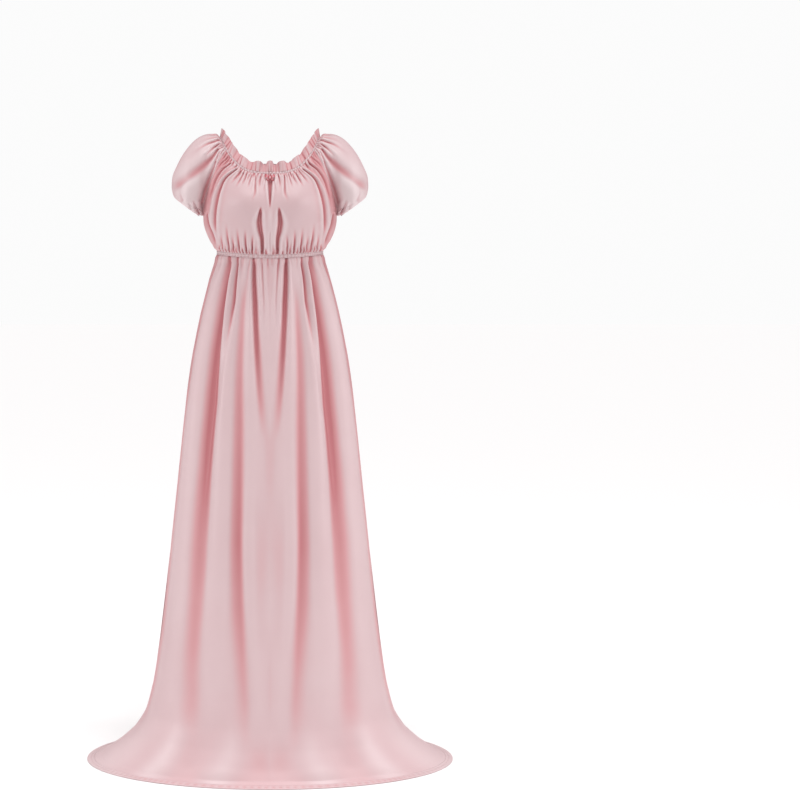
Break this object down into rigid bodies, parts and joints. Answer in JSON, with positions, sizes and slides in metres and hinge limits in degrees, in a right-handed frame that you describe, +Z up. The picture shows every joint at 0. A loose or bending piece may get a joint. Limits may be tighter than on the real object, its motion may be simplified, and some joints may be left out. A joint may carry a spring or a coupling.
{
  "type": "long satin costume gown",
  "caption": "Long satin costume gown with a high elastic waist, raglan puff sleeves, a frilled elastic neck, a small front bow and a wide hem that spreads on the floor",
  "frame": {"origin": "the middle of the neck opening, level with the neck band where it sits on the shoulders, which carry the gown", "axes": "+Z up, +X to the wearer's left, -Y to the front of the gown"},
  "size_m": [0.8766, 0.5366, 1.5062],
  "materials": {
    "satin_panels": "pale pink satin",
    "satin_casings": "pale pink satin, shirred",
    "satin_hem": "pale pink satin, turned and stitched",
    "satin_bow": "pale pink satin ribbon"
  },
  "bodies": {
    "root": {"bodice_front": "satin_panels", "bodice_back": "satin_panels", "sleeve_left": "satin_panels", "sleeve_right": "satin_panels", "neck_frill": "satin_panels", "skirt_front": "satin_panels", "skirt_back": "satin_panels", "neck_casing": "satin_casings", "waist_casing": "satin_casings", "cuff_left": "satin_casings", "cuff_right": "satin_casings", "hem_front": "satin_hem", "hem_back": "satin_hem", "bow_knot": "satin_bow", "bow_loop_left": "satin_bow", "bow_loop_right": "satin_bow", "bow_tail_left": "satin_bow", "bow_tail_right": "satin_bow"}
  },
  "joints": []
}
